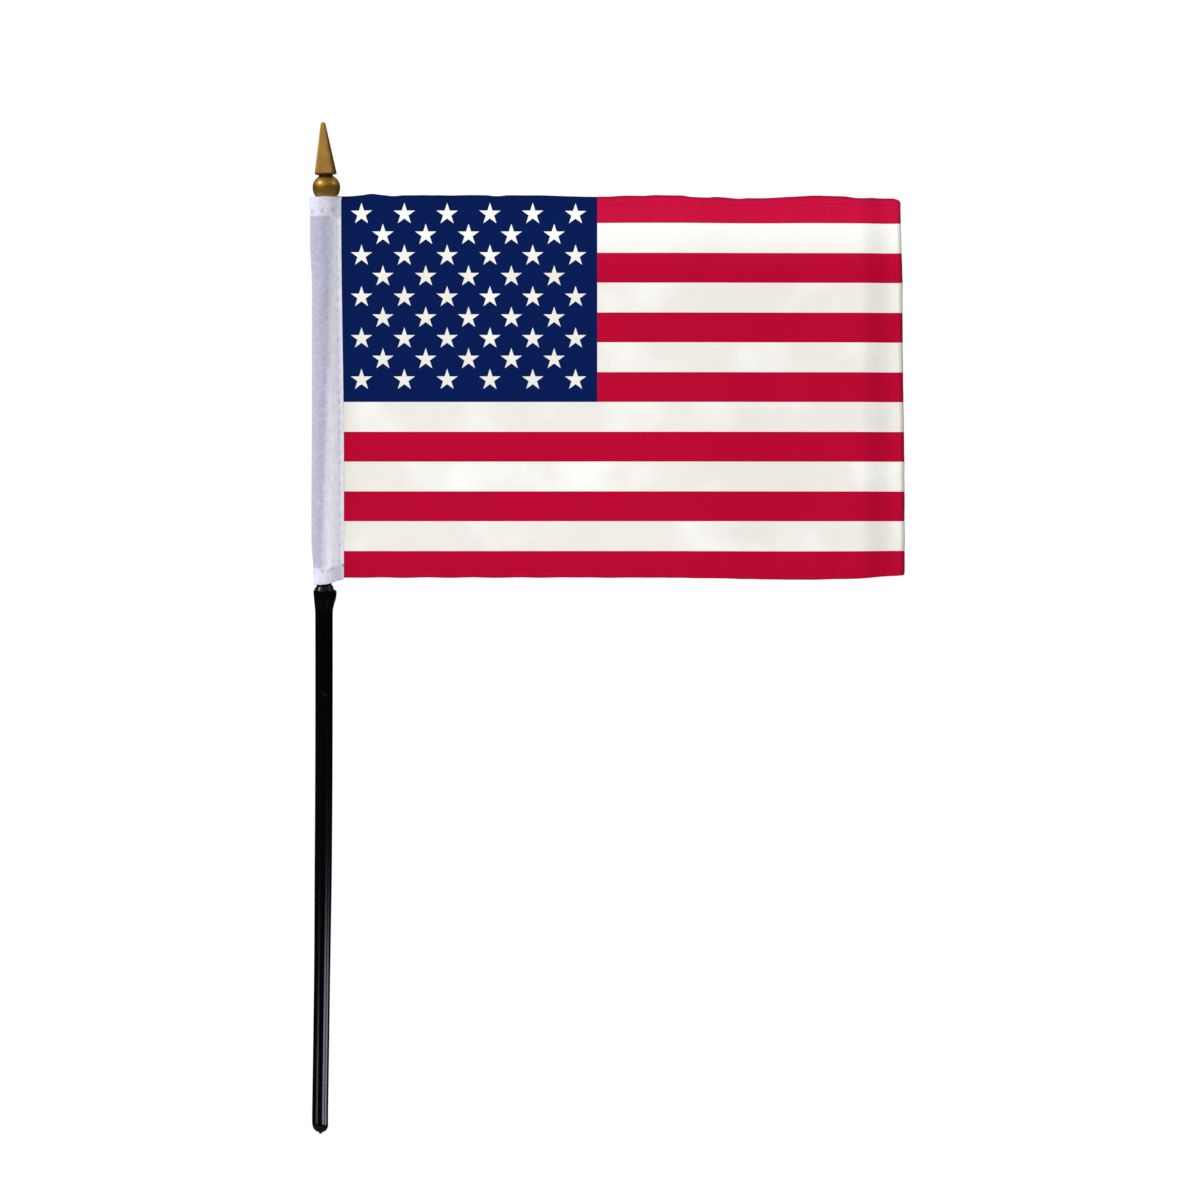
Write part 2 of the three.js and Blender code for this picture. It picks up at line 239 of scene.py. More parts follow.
def star_lattice(tree, place, column, row):
    """1 inside the stars of every second column and row, from the given ones on."""
    centre = (first_star[0] + column * star_column, -first_star[1] - row * star_row, 0.0)
    reach = Vector((star_column, star_row, 1.0))
    offset = add(tree, "VectorMath", {0: place, 1: centre}, operation="SUBTRACT")[0]
    cell = add(tree, "VectorMath", {0: offset, 1: reach, 2: -reach}, operation="WRAP")[0]
    parts = add(tree, "SeparateXYZ", {0: cell})
    across, up = parts["X"], parts["Y"]
    angle = add(tree, "Math", {0: across, 1: up}, operation="ARCTAN2")[0]
    point = add(tree, "Math", {0: angle, 1: math.pi / 5, 2: -math.pi / 5}, operation="WRAP")[0]
    folded = add(tree, "Math", {0: point}, operation="ABSOLUTE")[0]
    turned = add(tree, "Math", {0: folded, 1: star_slant}, operation="SUBTRACT")[0]
    slant = add(tree, "Math", {0: turned}, operation="COSINE")[0]
    flat = add(tree, "CombineXYZ", {"X": across, "Y": up})[0]
    away = add(tree, "VectorMath", {0: flat}, operation="LENGTH")["Value"]
    reached = add(tree, "Math", {0: away, 1: slant}, operation="MULTIPLY")[0]
    edge = star_radius * math.cos(star_slant)
    return add(tree, "Math", {0: reached, 1: edge}, operation="LESS_THAN")[0]


def between(tree, value, low, high):
    """1 where value lies between low and high."""
    above = add(tree, "Math", {0: value, 1: low}, operation="GREATER_THAN")[0]
    below = add(tree, "Math", {0: value, 1: high}, operation="LESS_THAN")[0]
    return add(tree, "Math", {0: above, 1: below}, operation="MULTIPLY")[0]


def print_colour(tree, place, red, white, navy):
    """The stripes, the canton and its stars on a map in millimetres."""
    parts = add(tree, "SeparateXYZ", {0: place})
    along, up = parts["X"], parts["Y"]
    # The first stripe's own top is hidden in the hem, a little above the flag's top.
    down = add(tree, "Math", {0: up, 1: -1.0, 2: stripe - top_stripe}, operation="MULTIPLY_ADD")[0]
    under_top = add(tree, "Math", {0: down, 1: 0.01}, operation="MAXIMUM")[0]
    printed = add(tree, "Math", {0: under_top, 1: 12.99 * stripe}, operation="MINIMUM")[0]
    number = add(tree, "Math", {0: printed, 1: stripe}, operation="DIVIDE")[0]
    turn = add(tree, "Math", {0: number, 1: 2.0}, operation="MODULO")[0]
    pale = add(tree, "Math", {0: turn, 1: 1.0}, operation="GREATER_THAN")[0]
    striped = add(tree, "Mix", {0: pale, 6: red, 7: white}, data_type="RGBA")[2]
    main_stars = star_lattice(tree, place, 0, 0)
    set_off_stars = star_lattice(tree, place, 1, 1)
    inner_columns = between(tree, along, first_star[0], first_star[0] + 10 * star_column)
    inner_rows = between(tree, up, -first_star[1] - 8 * star_row, -first_star[1])
    inner = add(tree, "Math", {0: inner_columns, 1: inner_rows}, operation="MULTIPLY")[0]
    kept_stars = add(tree, "Math", {0: set_off_stars, 1: inner}, operation="MULTIPLY")[0]
    star = add(tree, "Math", {0: main_stars, 1: kept_stars}, operation="MAXIMUM")[0]
    starred = add(tree, "Mix", {0: star, 6: navy, 7: white}, data_type="RGBA")[2]
    hoist_side = add(tree, "Math", {0: along, 1: canton_length}, operation="LESS_THAN")[0]
    upper = add(tree, "Math", {0: up, 1: -canton_height}, operation="GREATER_THAN")[0]
    canton = add(tree, "Math", {0: hoist_side, 1: upper}, operation="MULTIPLY")[0]
    return add(tree, "Mix", {0: canton, 6: striped, 7: starred}, data_type="RGBA")[2]


def crease_shade(tree, place, fold, reach, depth):
    """Grows to depth on both sides of the line where the cloth is folded over."""
    past = add(tree, "Math", {0: place, 1: fold}, operation="SUBTRACT")[0]
    away = add(tree, "Math", {0: past}, operation="ABSOLUTE")[0]
    return add(tree, "MapRange", {"Value": away, "From Min": reach, "From Max": 0.1, "To Max": depth})[0]


def printed_satin(name, red, white, navy, roughness):
    """Smooth filament polyester, dye printed in even, saturated inks. The white ground is painted whiter in
    cloudy patches of painted sheen, and the cloth is a touch lighter in its first stripes."""
    material, tree, shader = new_material(name, Roughness=roughness, Specular_IOR_Level=0.05, IOR=1.5)
    place = add(tree, "UVMap", uv_map="cloth")[0]
    parts = add(tree, "SeparateXYZ", {0: place})
    along, up = parts["X"], parts["Y"]
    high = add(tree, "MapRange", {"Value": up, "From Min": -19.0, "From Max": -8.0})[0]
    # Painted sheen: large soft patches where the white ground turns whiter.
    sheen_noise = add(tree, "TexNoise", {"Vector": place, "Scale": 0.035, "Detail": 3.0})[0]
    painted_sheen = add(tree, "MapRange", {"Value": sheen_noise, "From Min": 0.5, "From Max": 0.75})[0]
    pale = add(tree, "Math", {0: painted_sheen, 1: high}, operation="MAXIMUM")[0]
    ground = add(tree, "Mix", {0: pale, 6: colour(white), 7: colour("#FFFFFA")}, data_type="RGBA")[2]
    warm = add(tree, "Mix", {0: high, 6: colour(red[0]), 7: colour(red[1])}, data_type="RGBA")[2]
    inks = print_colour(tree, place, warm, ground, colour(navy))
    # The satin is painted darker where the creases of the top hem and the fly hem turn it away: painted
    # shade along the folds.
    top_crease = crease_shade(tree, up, 0.0, 0.9, 0.45)
    fly_crease = crease_shade(tree, along, flag_high.x - flag_edge, 1.4, 0.5)
    crease = add(tree, "Math", {0: top_crease, 1: fly_crease}, operation="MAXIMUM")[0]
    shaded = add(tree, "Mix", {0: crease, 6: inks, 7: colour("#060308")}, data_type="RGBA")[2]
    # The filaments lie about 0.12 mm apart. They are drawn at 0.36 mm so that they show.
    height = weave_height(tree, place, 0.36)
    bump = add(tree, "Bump", {"Height": height, "Strength": 0.12, "Distance": 0.03 * MM})[0]
    tree.links.new(shaded, shader.inputs["Base Color"])
    tree.links.new(bump, shader.inputs["Normal"])
    return material


def sewing_thread(name, code, roughness):
    """Spun polyester thread: matt and a little hairy, with the twist of its plies."""
    material, tree, shader = new_material(
        name, Base_Color=colour(code), Roughness=roughness, Sheen_Weight=0.3, IOR=1.5
    )
    twists = 6.0 / MM  # to a millimetre
    place = add(tree, "TexCoord")["Object"]
    twist = add(tree, "TexNoise", {"Vector": place, "Scale": twists, "Detail": 2.0})[0]
    bump = add(tree, "Bump", {"Height": twist, "Strength": 0.5, "Distance": 0.05 * MM})[0]
    tree.links.new(bump, shader.inputs["Normal"])
    return material


# Shared modelling


def new_piece(name, mesh, material, *more):
    """A piece made from a finished bmesh in millimetres, in place."""
    bmesh.ops.scale(mesh, vec=(MM, MM, MM), verts=mesh.verts)
    data = bpy.data.meshes.new(name)
    mesh.to_mesh(data)
    mesh.free()
    piece = bpy.data.objects.new(name, data)
    bpy.context.scene.collection.objects.link(piece)
    for each in (material, *more):
        data.materials.append(each)
    data.shade_smooth()
    return piece


def ring_loft(rings, segments):
    """Closed skin through rings that are drawn up from a first circle. Each ring is a function
    of the angle that gives the radius, with its height."""
    mesh = bmesh.new()
    bmesh.ops.create_circle(mesh, cap_ends=True, segments=segments, radius=1.0)
    verts, edges = list(mesh.verts), list(mesh.edges)
    for number, (radius, height) in enumerate(rings):
        if number:
            drawn = bmesh.ops.extrude_edge_only(mesh, edges=edges)
            verts = [g for g in drawn["geom"] if isinstance(g, bmesh.types.BMVert)]
            edges = [g for g in drawn["geom"] if isinstance(g, bmesh.types.BMEdge)]
        for v in verts:
            angle = math.atan2(v.co.y, v.co.x)
            v.co = Vector((math.cos(angle), math.sin(angle), 0)) * radius(angle)
            v.co.z = height
    bmesh.ops.contextual_create(mesh, geom=edges)
    bmesh.ops.recalc_face_normals(mesh, faces=mesh.faces)
    return mesh


def steps(start, end, count):
    """Evenly spaced values from start to end, both included."""
    return [start + (end - start) * i / count for i in range(count + 1)]


# Staff

gate_radius, gate_height = 0.45, 0.4
foot_radius, foot_top = 2.12, 2.9
foot_rounding = 2.55  # the height over which the foot closes
shaft_radius = 2.27
thin_end, thick_start = 38, 74  # the shaft thickens between these heights
taper = 0.06  # and by this much more, evenly, up to the collar
flare_height, land_height = 6.4, 0.6
collar_radius = 2.77
collar_land = 142.95  # top of the collar's widest part
collar_top = 144.45
collar_bevel = 0.5
upper_radius = 2.0
ear_reach = 0.58
ear_start, ear_end = 138.0, 143.5
ejector_mark = 115.9  # height of the mark on the front
mark_rise, mark_radius = 0.07, 0.55


def staff_radius(height):
    """The lathe profile of the staff at a height."""
    if height < gate_height:
        return gate_radius
    if height < foot_top:
        rounding = 1 - ((foot_top - height) / foot_rounding) ** 2.4
        return max(gate_radius, foot_radius * rounding**0.42)
    if height < collar_land - land_height:
        flare = smooth(height, collar_land - flare_height, collar_land + 0.4)
        thicker = (shaft_radius - foot_radius) * smooth(height, thin_end, thick_start)
        shaft = foot_radius + thicker + taper * height / collar_land
        return shaft + (collar_radius - shaft) * flare
    if height < collar_land:
        return collar_radius
    if height < collar_top:
        return collar_radius - collar_bevel * (height - collar_land) / (collar_top - collar_land)
    return upper_radius


def staff_skin(height):
    """The staff's radius at an angle, with the collar's ear and the ejector mark."""

    def radius(angle):
        base = staff_radius(height)
        ear_height = smooth(height, ear_start, ear_start + 4) * (1 - smooth(height, ear_end - 0.4, ear_end))
        ear = ear_reach * ear_height * (1 - smooth(abs(angle), 0.18, 0.42))
        around = math.remainder(angle + math.pi / 2, math.tau) * base
        from_mark = math.hypot(around - 0.1, height - ejector_mark)
        return base + ear + mark_rise * (1 - smooth(from_mark, mark_radius - 0.25, mark_radius))

    return radius


def make_staff():
    """Foot, shaft, collar, upper part and spigot in one skin. The shaft is a little bowed, the
    foot runs off to one side, and the collar's top slants."""
    top = finial_low.z - 0.1
    spigot, chamfer = 1.5, 0.2
    bow_depth, bow_length = 0.43, 155
    foot_offset, collar_tilt = 0.22, 0.13
    heights = [0, 0.2, 0.38]
    heights += [foot_top - 2.49 * math.cos(a) for a in steps(0.02, math.pi / 2, 14)]
    heights += steps(3.2, ejector_mark - 1, 40)
    heights += steps(ejector_mark - 0.8, ejector_mark + 0.8, 16)
    heights += steps(ejector_mark + 1, 137, 12)
    heights += steps(137.3, collar_top, 36)
    heights += steps(collar_top + 0.02, top - 0.02, 20)
    rings = [(staff_skin(h), h) for h in heights]
    rings += [(lambda a: spigot, top), (lambda a: spigot, staff_high.z - chamfer)]
    rings += [(lambda a: spigot - chamfer, staff_high.z)]
    mesh = ring_loft(rings, 96)
    for v in mesh.verts:
        bow = bow_depth * math.sin(math.pi * min(1.0, v.co.z / bow_length))
        foot = foot_offset * (1 - smooth(v.co.z, 0, 4))
        at_top = smooth(v.co.z, 142.9, 144.4) * (1 - smooth(v.co.z, 146, 148))
        v.co += Vector((bow + foot, 0, collar_tilt * v.co.x * at_top))
    piece = new_piece("staff_moulding", mesh, moulded_black())
    piece.data.set_sharp_from_angle(angle=math.radians(38))
    return piece


# Finial

ball_middle = 249.6
ball = (finial_high.x - finial_low.x) / 2
ball_drop = 4.1  # from the ball's middle to where its lower half would close


def make_finial():
    """Ball, neck and spear in one skin, drawn up ring by ring. The ball is round, and the
    four-sided spear leans from the ball's middle."""
    seat, middle = finial_low.z, ball_middle
    socket, socket_top = 1.55, seat + 5.2
    drop, rise = ball_drop, 3.3
    neck = 1.87
    spear_base, spear_tip = middle + 3.2, middle + 17.1
    shoulder = 0.45  # height of the rounding under the spear's widest part
    widest = spear_base + shoulder
    half, tip = 2.55, 0.52  # half the spear's width there, and the radius of its tip
    lean, turn = math.radians(-3.4), math.radians(-10)

    def square(width, power):
        """A square whose corners are crisper the higher the power, as a radius by angle."""

        def radius(angle):
            across, up = abs(math.cos(angle - turn)), abs(math.sin(angle - turn))
            return width / (across**power + up**power) ** (1 / power)

        return radius

    def circle(width):
        return lambda angle: width

    def up_spear(height):
        """0 where the spear is widest, growing to 1 at its tip."""
        return (height - widest) / (spear_tip - widest)

    def ball_rings(reach, angles):
        """Rings of the ball, whose half has its own reach up or down."""
        return [(circle(ball * math.cos(a)), middle + reach * math.sin(a)) for a in angles]

    rings = [(circle(0.02), socket_top), (circle(socket - 0.1), socket_top)]
    rings += [(circle(socket), socket_top - 0.1), (circle(socket), seat + 0.15)]
    rings += [(circle(socket + 0.12), seat)]
    rings += ball_rings(drop, steps(-math.asin((middle - seat) / drop), 0, 20))
    rings += ball_rings(rise, steps(0, math.acos((neck + 0.06) / ball), 18)[1:])
    top_of_ball = rings[-1][1]
    rings += [(circle(neck), top_of_ball + 0.1), (circle(neck), spear_base - 0.06)]
    for a in steps(0.0, math.pi / 2, 8):
        width = half * (0.76 + 0.24 * math.sin(a))
        rings.append((square(width, 4 + 9 * math.sin(a)), spear_base + shoulder * (1 - math.cos(a))))
    for height in steps(spear_base + 0.7, spear_tip - tip, 26):
        share = up_spear(height)
        rings.append((square(half + (tip - half) * share, 13 - 7 * share), height))
    last = half + (tip - half) * up_spear(spear_tip - tip)
    for a in steps(0, math.pi / 2 - 0.12, 7)[1:]:
        rings.append((square(last * math.cos(a), 6 - 2.5 * a), spear_tip - tip + tip * math.sin(a)))
    mesh = ring_loft(rings, 128)
    bend = Matrix.Rotation(lean, 3, "Y")
    pivot = Vector((0, 0, middle))
    for v in mesh.verts:
        outside = math.hypot(v.co.x, v.co.y) > socket + 0.3 or v.co.z > socket_top + 0.3
        share = smooth(v.co.z, middle, middle + 2.2) if outside else 0.0
        if share:
            v.co = v.co.lerp(pivot + bend @ (v.co - pivot), share)
    piece = new_piece("finial_spear", mesh, metallised_gold((top_of_ball + 0.12) * MM))
    piece.data.set_sharp_from_angle(angle=math.radians(60))
    return piece


# Cloth. A folded edge is a half turn of the cloth, whose far side then lies on the near side.


def turned_edge(along, edge, radius):
    """Where a point of the cloth lies once its edge is turned over: how far along, and how far
    it is lifted from the side that isn't turned."""
    start = edge - radius
    if along <= start:
        return along, 0.0
    angle = (along - start) / radius
    if angle < math.pi:
        return start + radius * math.sin(angle), radius * (1 - math.cos(angle))
    return start - (along - start - math.pi * radius), 2 * radius


def turned_hems(rise, low, high, radius):
    """Where a height on the cloth lies once its top and bottom edges are turned over, and how
    far it is lifted."""
    centre, half = (low + high) / 2, (high - low) / 2
    reach, lift = turned_edge(abs(rise - centre), half, radius)
    return centre + math.copysign(reach, rise - centre), lift


def cloth_grid(columns, rows):
    """A grid whose points are laid out by their share of the cloth's width and height."""
    mesh = bmesh.new()
    bmesh.ops.create_grid(mesh, x_segments=columns, y_segments=rows, size=0.5)
    mesh.loops.layers.uv.new("cloth")
    return mesh


def lay_cloth(mesh, flat):
    """Maps the cloth by each point's flat place in millimetres, turns it into its place in the
    part's frame and points its faces one way."""
    uv = mesh.loops.layers.uv["cloth"]
    for face in mesh.faces:
        for loop in face.loops:
            loop[uv].uv = flat[loop.vert]
    mesh.transform(Matrix.Scale(1 / MM, 4) @ cloth_place @ Matrix.Scale(MM, 4))
    bmesh.ops.recalc_face_normals(mesh, faces=mesh.faces)


def finish_cloth(piece, thickness):
    """Gives the cloth its wall, with its second material on the far side."""
    shell = piece.modifiers.new("cloth thickness", "SOLIDIFY")
    shell.thickness = thickness * MM
    shell.offset = 0.0
    shell.use_even_offset = False
    shell.material_offset = 1
    shell.material_offset_rim = 0


hem = 2.6  # depth of the top and bottom hems
fly_hem = 2.4
fold_radius = 0.12  # of the folds along the top and bottom
fly_radius = 0.27
flag_wall = 0.12
hoist = 3.4  # the flag's raw edge, inside the sleeve's seam
pucker_reach = 5.0  # how far from an edge the hem's thread still draws the cloth up


def flag_swell(x, z):
    """How far the flag's cloth stands off its plane: slow waves that grow to the fly end, and
    puckers along the three hems, where the thread draws the cloth up."""
    free = smooth(x, 6, 70)
    slow = 1.1 * free * math.sin(x / 19.0 + 0.5 + 0.010 * (z - 196)) * smooth(x, 10, 150)
    slow += 0.55 * free * ripple(x, 0.6 * z, 34, 1.7)
    slow += 0.3 * free * ripple(x, z, 15, 5.2)
    fly_bend = 2.3 * smooth(x, 141.5, 149.7) - 0.25 * smooth(x, 150, 152.5)
    level = math.exp(-min(flag_high.z - z, z - flag_low.z) / pucker_reach)
    upright = math.exp(-max(0.0, flag_high.x - x) / pucker_reach)
    gathers = level * (0.32 * ripple(x, z * 0.25, 5.5, 9.1) + 0.14 * ripple(x, z * 0.25, 2.2, 3.3))
    gathers += upright * (0.3 * ripple(x * 0.25, z, 5.0, 12.4) + 0.12 * ripple(x * 0.25, z, 2.1, 8.8))
    return slow + fly_bend + gathers * smooth(x, 5, 14)


def hollow(x, place, width):
    """1 at place, fading to 0 about two widths to either side."""
    return math.exp(-(((x - place) / width) ** 2))


def flag_shift(x, z):
    """How far the flag's cloth is drawn along its own plane, strongest at its edges. The top and
    the bottom hems dip in long hollows, and the fly end slants a little."""
    from_top = math.exp(-(flag_high.z - z) / 3.5)
    from_bottom = math.exp(-(z - flag_low.z) / 3.5)
    from_fly = math.exp(-(flag_high.x - x) / 9.0)
    near_top = math.exp(-(flag_high.z - z) / 1.4)
    nick = 0.3 * smooth(ripple(x, 0, 8.5, 0.4), 0.1, 0.5) - 0.1
    top = 0.22 - 0.45 * hollow(x, 70, 9) - 0.8 * hollow(x, 112, 12) - 0.75 * smooth(x, 128, 152)
    up = from_top * (top + 0.1 * ripple(x, 0, 6, 4.1)) - near_top * (nick - 0.4 * hollow(x, 12.5, 2))
    bottom = 0.6 * smooth(x, 138, 152) - 0.55 * hollow(x, 124, 22) + 0.12 * ripple(x, 0, 6, 6.1)
    out = 0.42 * (1 - smooth(z, 172, 232)) - 0.65 * smooth(z, flag_high.z - 24, flag_high.z - 2)
    out += 0.08 * ripple(0, z, 5, 1.1) - 0.24 - 0.26 * hollow(z, 206, 30)
    free = smooth(x, 5, 12)
    return out * from_fly * free, (up + bottom * from_bottom) * free


def rounded_corner(x, z, wide=2.7, high=1.5):
    """Draws a square corner at the fly end in to a round one, the lower one less."""
    for edge, share in ((flag_high.z, 1.0), (flag_low.z, 0.4)):
        to_side = 1 - (flag_high.x - x) / wide
        to_edge = 1 - abs(edge - z) / high
        if to_side > 0 and to_edge > 0:
            pull = 1 + share * (max(to_side, to_edge) / math.hypot(to_side, to_edge) - 1)
            x = flag_high.x - wide * (1 - to_side * pull)
            z = edge - math.copysign(high * (1 - to_edge * pull), edge - cloth_middle.z / MM)
    return x, z


def on_flag(x, z, lift):
    """A point of the flag in the square frame, from its flat place and its lift to the back."""
    out, up = flag_shift(x, z)
    swell = flag_swell(x, z)
    x, z = rounded_corner(x, z)
    return Vector((x + out, lift + swell, z + up))


def make_flag(front, reverse):
    """The flag as one sheet with its three hems turned to the back, finer near them."""
    mesh = cloth_grid(250, 184)
    fly_stops = [hoist, flag_high.x - 8, flag_high.x - 0.6, flag_high.x + fly_hem + 0.3]
    fly_shares = [0, 0.9, 0.95, 1]
    hem_reach = hem + 0.25
    rise_stops = [
        flag_low.z - hem_reach, flag_low.z + 0.4, flag_low.z + 8,
        flag_high.z - 8, flag_high.z - 0.4, flag_high.z + hem_reach,
    ]
    rise_shares = [0, 0.06, 0.14, 0.86, 0.94, 1]
    flat = {}
    for v in mesh.verts:
        along = float(np.interp(v.co.x + 0.5, fly_shares, fly_stops))
        rise = float(np.interp(v.co.y + 0.5, rise_shares, rise_stops))
        flat[v] = (along - flag_edge, rise - flag_high.z)
        z, lift = turned_hems(rise, flag_low.z, flag_high.z, fold_radius)
        x, back = turned_edge(along, flag_high.x, fly_radius)
        if back:
            turn = math.acos(max(-1.0, min(1.0, 1 - back / fly_radius)))
            lift = fly_radius - (fly_radius - lift) * math.cos(turn)
        v.co = on_flag(x, z, lift)
    lay_cloth(mesh, flat)
    # The turned hems face both ways, so the open cloth tells which side is the front.
    open_cloth = [f for f in mesh.faces if f.calc_center_median().x < flag_high.x - 12]
    if sum(f.normal.y * f.calc_area() for f in open_cloth) > 0:
        bmesh.ops.reverse_faces(mesh, faces=mesh.faces)
    piece = new_piece("flag_cloth", mesh, front, reverse)
    finish_cloth(piece, flag_wall)
    return piece


# Sleeve

flag_edge = 4.9  # where the print comes out of the sleeve's seam
sleeve_wall = 0.16
sleeve_top = 246.94  # the mouth reaches up round the ball
sleeve_base = sleeve_low.z
top_hem = 5.1
bottom_hem = 4.2
sleeve_fold = 0.1  # radius of the fold at either hem
hem_layer = 0.2  # how far a hem's second layer pushes the sleeve out
hem_slope = 0.1  # how far the hems' rows rise to the flag, by their length
seam_gap = 0.15  # between the seam's middle and each layer of the sleeve
left_fold = -3.36
pocket_depth = 2.42  # from the flag's plane to the front of the pocket
staff_reach = 2.14  # the staff's upper part, with a little room for its bow
top_row_depth, bottom_row_depth = 3.75, 3.6
pucker_depth = 0.16
stitch = 2.7


def seam_line(z):
    """The row that sews the flag in, and the sleeve's free edge beyond it, at a height."""
    draw_in = smooth(z, 176, 243)
    spread = 0.5 * smooth(z, sleeve_top - 1.1, sleeve_top)  # where the ball pushes the mouth open
    return 3.86 - 0.66 * draw_in + spread, flag_edge + 0.1 - 0.72 * draw_in + 0.3 * spread


def sleeve_left(z):
    """The fold on the side away from the flag."""
    up = z - cloth_middle.z / MM
    left = left_fold - 0.5 * smooth(up, 28, 40) + 0.78 * (1 - smooth(up, -51, -38))
    left -= 0.14 * (1 - smooth(up, -35, 0))
    return left + 0.3 * hollow(z, hem_row(True), 0.8)


def staff_x(z):
    """Where the staff's axis passes through the sleeve, in the cloth's square frame."""
    axis = cloth_place.inverted() @ Vector((0, 0, z * MM))
    return axis.x / MM


def filled_radius(z):
    """How far the staff, or the ball that sits in the sleeve's mouth, reaches from its axis."""
    up = (z - ball_middle) / ball_drop
    return ball * math.sqrt(1 - up * up) if z > finial_low.z else staff_reach


def sleeve_point(side, share, z, out):
    """A point of the sleeve: share runs from the left fold at 0 to the free edge at 1, side is
    -1 in front and 1 behind, and out grows the pocket."""
    row, edge = seam_line(z)
    row_share = 0.9
    if share > row_share:
        beyond = (share - row_share) / (1 - row_share)
        return Vector((row + (edge - row) * beyond, side * (seam_gap + out), z))
    left = sleeve_left(z) - out
    turn = math.pi * (1 - share / row_share)
    half = (row - left) / 2
    x = row - half + half * math.cos(turn)
    lens = pocket_depth * math.sin(turn) ** (1.45 + 0.5 * math.cos(turn))
    crease = 0.16 * ripple(x * 1.3, z * 0.22, 2.2, 4.4 + side) + 0.1 * ripple(x, z, 6, side)
    reach = filled_radius(z) + 0.2
    off_axis = x - staff_x(z)
    filled = math.sqrt(max(0.0, reach * reach - off_axis * off_axis))
    y = max(lens + crease * math.sin(turn), filled, seam_gap * smooth(x, row - 1.4, row)) + out
    return Vector((x, side * (y if share else 0.0), z))


def hem_row(top):
    """Height of the row of stitches in the sleeve's top or bottom hem."""
    return sleeve_top - top_row_depth if top else sleeve_base + bottom_row_depth


def doubled_at(z):
    """1 where the sleeve's hems lie double, and 0 between them."""
    upper = smooth(z, sleeve_top - top_hem - 0.4, sleeve_top - top_hem + 0.3)
    lower = 1 - smooth(z, sleeve_base + bottom_hem - 0.3, sleeve_base + bottom_hem + 0.4)
    return max(upper, lower)


def stitch_hole(along):
    """1 where the needle goes through, once every stitch, and 0 halfway to the next hole."""
    return 0.5 + 0.5 * math.cos(math.tau * along / stitch)


def pucker_at(x, z):
    """How strongly the nearest row of stitches pulls the sleeve's cloth in, from 0 to 1."""
    pull = 0.0
    for top in (True, False):
        near_row = hollow(z, hem_row(top) + hem_slope * x, 0.36)
        pull = max(pull, near_row * (0.12 + 0.88 * stitch_hole(x + 3.3) ** 4))
    row, _ = seam_line(z)
    return max(pull, hollow(x, row, 0.3) * (0.15 + 0.5 * stitch_hole(z - sleeve_base) ** 4))


def sleeve_edge_height(x, z):
    """The lower edge rises to the flag's side, and so does the cloth just above it."""
    low = 1 - smooth(z, sleeve_base, sleeve_base + 14)
    return z + low * (0.15 + 1.35 * smooth(x, -1.5, flag_edge) ** 1.5)


def make_sleeve(material):
    """The sleeve as one strip folded round the staff, with its hems turned in."""
    mesh = cloth_grid(110, 230)
    near = mesh.verts.layers.float.new("staff_showing_and_painted_shade")
    painted_pucker_shade = mesh.verts.layers.float.new("painted_pucker_shade")
    stops = [
        sleeve_base - bottom_hem, sleeve_base + 0.4, sleeve_base + 7,
        sleeve_top - 8, sleeve_top - 0.4, sleeve_top + top_hem,
    ]
    shares = [0, 0.12, 0.25, 0.72, 0.87, 1]
    half_strip = 9.3
    flat = {}
    for v in mesh.verts:
        around = 2 * v.co.x
        side = math.copysign(1, around)
        rise = float(np.interp(v.co.y + 0.5, shares, stops))
        flat[v] = (around * half_strip, rise)
        z, lift = turned_hems(rise, sleeve_base, sleeve_top, sleeve_fold)
        doubled = doubled_at(z)
        point = sleeve_point(side, abs(around), z, hem_layer * doubled - lift)
        pull = pucker_at(point.x, point.z)
        point.y -= side * pucker_depth * pull * min(1.0, abs(point.y) / 0.4)
        # The cloth lies on the staff to the left of an edge that moves right as it rises, and is greyed
        # there: partly the black staff showing through, partly painted shade on the pocket's left side.
        touch_edge = 1.7 * smooth(z, 145, 240) - 0.2
        staff_grey_and_shade = 1 - smooth(point.x, touch_edge - 1.2, touch_edge + 1.5)
        v[near] = staff_grey_and_shade * (1 - doubled) + 0.4 * doubled
        # Painted shade in the stitches' puckers, which the tape's material darkens.
        v[painted_pucker_shade] = 0.9 * pull
        point.z = sleeve_edge_height(point.x, point.z)
        v.co = point
    lay_cloth(mesh, flat)
    piece = new_piece("sleeve_cloth", mesh, material, material)
    finish_cloth(piece, sleeve_wall)
    return piece


# Threads


def make_thread(name, points, radius, material, colour_map=False):
    """A thread that follows points of the square frame, as a tube with closed round ends."""
    line = bpy.data.curves.new(name, "CURVE")
    line.dimensions = "3D"
    line.bevel_depth = radius * MM
    line.bevel_resolution = 1
    line.use_fill_caps = True
    path = line.splines.new("POLY")
    path.points.add(len(points) - 1)
    for spot, point in zip(path.points, points):
        spot.co = (*(cloth_place @ (point * MM)), 1.0)
    drawn = bpy.data.objects.new(name, line)
    data = bpy.data.meshes.new_from_object(drawn)
    bpy.data.objects.remove(drawn)
    bpy.data.curves.remove(line)
    data.name = name
    data.materials.clear()
    data.materials.append(material)
    piece = bpy.data.objects.new(name, data)
    bpy.context.scene.collection.objects.link(piece)
    data.shade_smooth()
    if colour_map:
        lay_print(data)
    return piece


def lay_print(data):
    """Gives a thread the print's colours where it lies on the flag."""
    back = cloth_place.inverted()
    layer = data.uv_layers.new(name="cloth")
    for loop in data.loops:
        place = (back @ data.vertices[loop.vertex_index].co) / MM
        layer.data[loop.index].uv = (place.x - flag_edge, place.z - flag_high.z)


